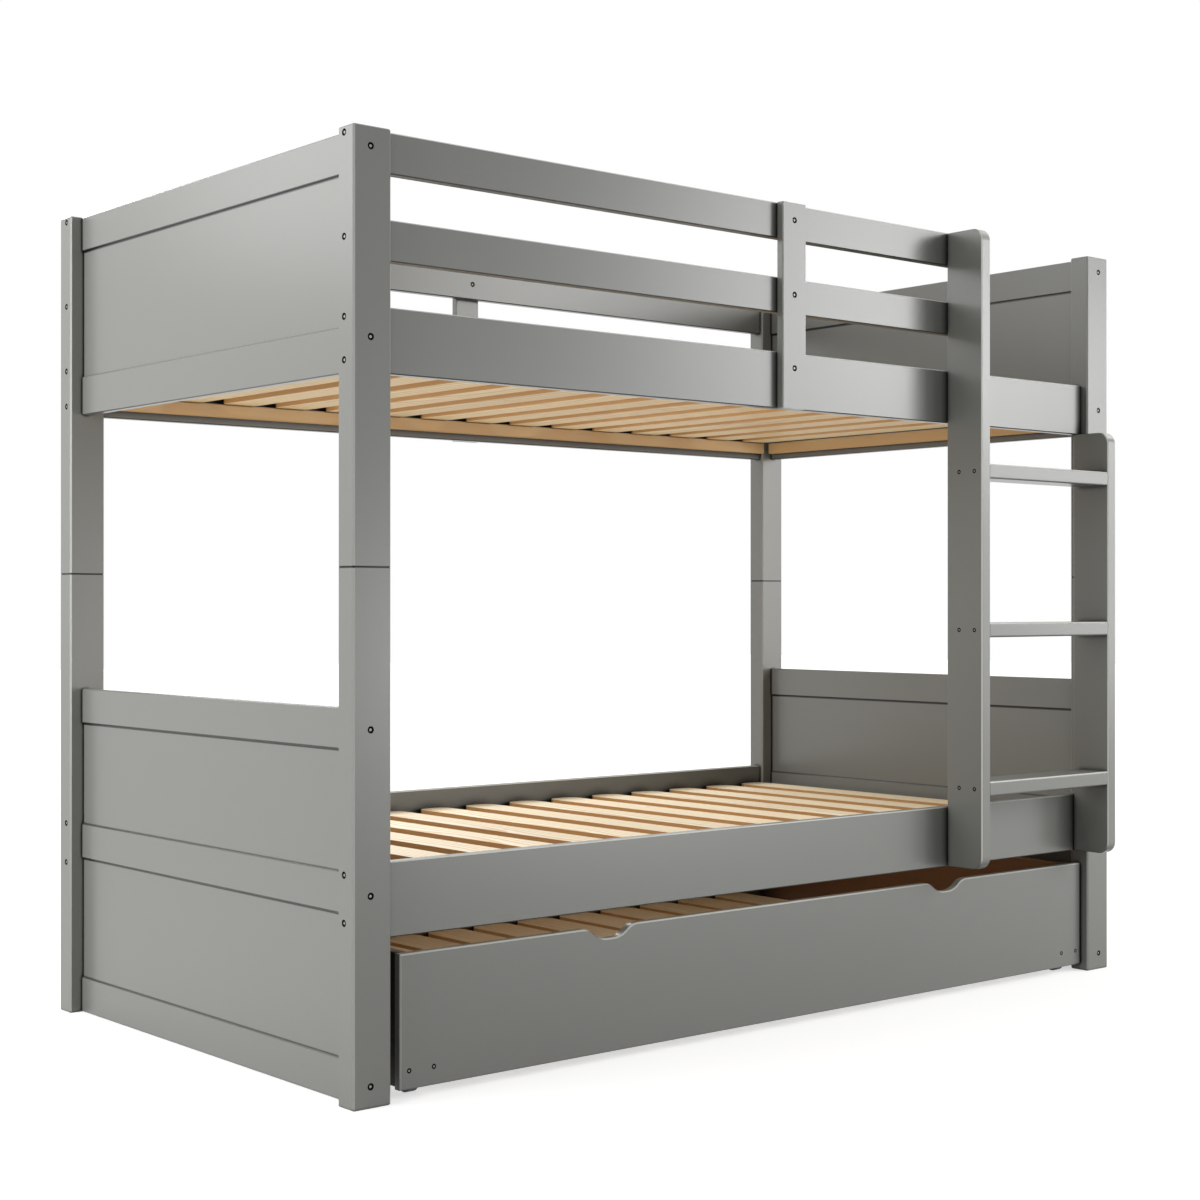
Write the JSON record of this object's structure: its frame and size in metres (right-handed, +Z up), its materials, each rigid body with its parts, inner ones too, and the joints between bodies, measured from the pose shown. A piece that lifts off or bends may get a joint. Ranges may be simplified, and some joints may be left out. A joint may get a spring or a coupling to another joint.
{
  "type": "bunk bed",
  "caption": "Twin-over-twin bunk bed with panelled ends, guard rails, a fixed front ladder and a roll-out trundle with finger cut-outs.",
  "frame": {"origin": "on the floor, at the middle of the whole bed's bounding box, ladder included", "axes": "+X along the bed towards the ladder end, -Y towards the ladder side, where the trundle rolls out, +Z up"},
  "size_m": [2, 1.141, 1.5835],
  "materials": {
    "post_paint": "satin grey paint over solid wood",
    "guard_post_paint": "satin grey paint over solid wood",
    "rail_paint": "satin grey paint over solid wood",
    "end_panel_paint": "satin grey paint over a wood panel",
    "end_rail_paint": "satin grey paint over solid wood",
    "stile_paint": "satin grey paint over solid wood",
    "tread_paint": "satin grey paint over solid wood",
    "trundle_front_paint": "satin grey paint over solid wood",
    "slat_pine": "planed bare pine",
    "bearer_pine": "planed bare pine",
    "trundle_slat_pine": "planed bare pine",
    "trundle_board_pine": "planed bare pine",
    "dowel_beech": "turned beech",
    "bolt_steel": "dull grey coated steel",
    "guard_bolt_steel": "dull grey coated steel",
    "screw_steel": "dull grey coated steel",
    "axle_steel": "zinc-plated steel",
    "wheel_plastic": "moulded black nylon"
  },
  "bodies": {
    "bed": {"end_bearers": "bearer_pine", "end_bolts": "bolt_steel", "guard_bolts": "guard_bolt_steel", "guard_middle_rail_back": "rail_paint", "guard_middle_rail_front": "rail_paint", "guard_post_back": "guard_post_paint", "guard_post_front": "guard_post_paint", "guard_top_rail_back": "rail_paint", "guard_top_rail_front": "rail_paint", "ladder_screws": "screw_steel", "ladder_stile_left": "stile_paint", "ladder_stile_right": "stile_paint", "ladder_treads": "tread_paint", "lower_end_left_bottom_rail": "end_rail_paint", "lower_end_left_lower_panel": "end_panel_paint", "lower_end_left_middle_rail": "end_rail_paint", "lower_end_left_top_rail": "end_rail_paint", "lower_end_left_upper_panel": "end_panel_paint", "lower_end_right_bottom_rail": "end_rail_paint", "lower_end_right_lower_panel": "end_panel_paint", "lower_end_right_middle_rail": "end_rail_paint", "lower_end_right_top_rail": "end_rail_paint", "lower_end_right_upper_panel": "end_panel_paint", "lower_post_back_left": "post_paint", "lower_post_back_right": "post_paint", "lower_post_front_left": "post_paint", "lower_post_front_right": "post_paint", "lower_side_rail_back": "rail_paint", "lower_side_rail_front": "rail_paint", "lower_slats": "slat_pine", "post_dowels": "dowel_beech", "side_bearers": "bearer_pine", "side_bolts": "bolt_steel", "upper_end_left_bottom_rail": "end_rail_paint", "upper_end_left_panel": "end_panel_paint", "upper_end_left_top_rail": "end_rail_paint", "upper_end_right_bottom_rail": "end_rail_paint", "upper_end_right_panel": "end_panel_paint", "upper_end_right_top_rail": "end_rail_paint", "upper_post_back_left": "post_paint", "upper_post_back_right": "post_paint", "upper_post_front_left": "post_paint", "upper_post_front_right": "post_paint", "upper_side_rail_back": "rail_paint", "upper_side_rail_front": "rail_paint", "upper_slats": "slat_pine"},
    "trundle": {"trundle_front": "trundle_front_paint", "trundle_back": "trundle_board_pine", "trundle_side_left": "trundle_board_pine", "trundle_side_right": "trundle_board_pine", "trundle_bearers": "trundle_board_pine", "trundle_slats": "trundle_slat_pine", "trundle_screws": "screw_steel", "wheel_axles": "axle_steel"},
    "wheel_front_left": {"wheel_front_left": "wheel_plastic"},
    "wheel_front_right": {"wheel_front_right": "wheel_plastic"},
    "wheel_back_left": {"wheel_back_left": "wheel_plastic"},
    "wheel_back_right": {"wheel_back_right": "wheel_plastic"}
  },
  "joints": [
    {"name": "trundle_slide", "type": "slide", "parent": "bed", "child": "trundle", "axis": [0, -1, 0], "range_m": [0, 0.88]},
    {"name": "wheel_front_left_spin", "type": "hinge", "parent": "trundle", "child": "wheel_front_left", "pos_m": [-0.855, -0.4385, 0.022], "axis": [1, 0, 0], "range_deg": [0, 2300]},
    {"name": "wheel_front_right_spin", "type": "hinge", "parent": "trundle", "child": "wheel_front_right", "pos_m": [0.882, -0.4385, 0.022], "axis": [1, 0, 0], "range_deg": [0, 2300]},
    {"name": "wheel_back_left_spin", "type": "hinge", "parent": "trundle", "child": "wheel_back_left", "pos_m": [-0.855, 0.4815, 0.022], "axis": [1, 0, 0], "range_deg": [0, 2300]},
    {"name": "wheel_back_right_spin", "type": "hinge", "parent": "trundle", "child": "wheel_back_right", "pos_m": [0.882, 0.4815, 0.022], "axis": [1, 0, 0], "range_deg": [0, 2300]}
  ],
  "couplings": [
    {"joint": "wheel_front_left_spin", "follows": "trundle_slide", "rad_per_m": 45.455},
    {"joint": "wheel_front_right_spin", "follows": "trundle_slide", "rad_per_m": 45.455},
    {"joint": "wheel_back_left_spin", "follows": "trundle_slide", "rad_per_m": 45.455},
    {"joint": "wheel_back_right_spin", "follows": "trundle_slide", "rad_per_m": 45.455}
  ]
}
